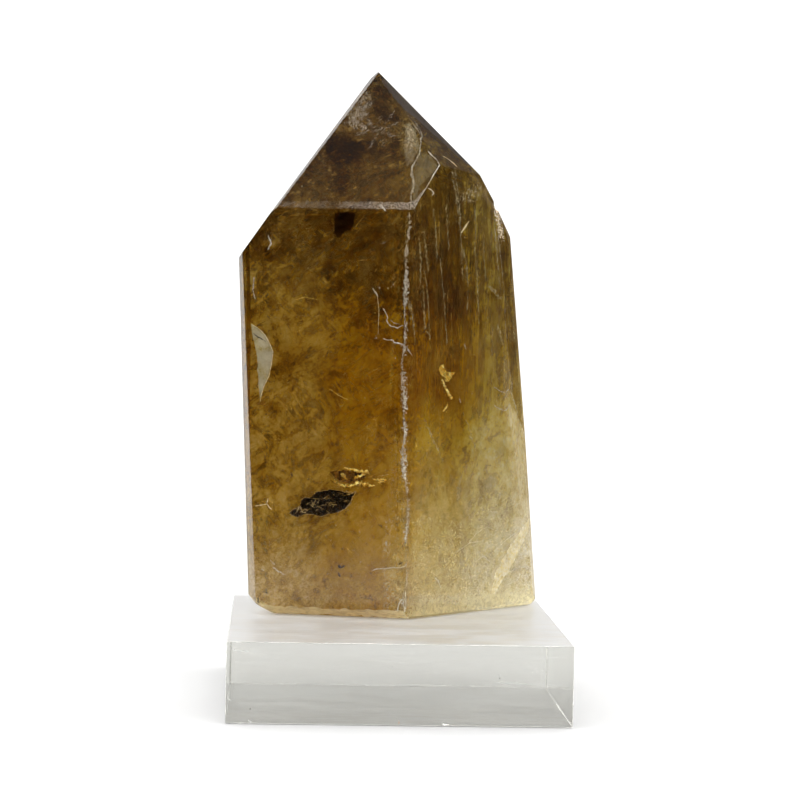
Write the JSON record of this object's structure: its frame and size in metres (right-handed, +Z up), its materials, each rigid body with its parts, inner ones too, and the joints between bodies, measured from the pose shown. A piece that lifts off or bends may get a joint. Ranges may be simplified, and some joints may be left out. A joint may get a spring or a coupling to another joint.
{
  "type": "citrine crystal point on a clear acrylic block",
  "caption": "Polished citrine point with an off-centre tip, golden and smoky inside with veils and dark flakes, standing on a clear acrylic block.",
  "frame": {"origin": "centre of the block's underside", "axes": "+Z up towards the crystal's tip, -Y towards the wide front faces, +X to the viewer's right"},
  "size_m": [0.081, 0.081, 0.1574],
  "materials": {
    "citrine": "hand-polished golden smoky quartz, see-through, with veils, a white crack and dark flakes sealed in",
    "acrylic": "clear cast acrylic with polished faces, broken edges and light handling marks"
  },
  "bodies": {
    "root": {"crystal_point": "citrine", "acrylic_base": "acrylic"}
  },
  "joints": []
}
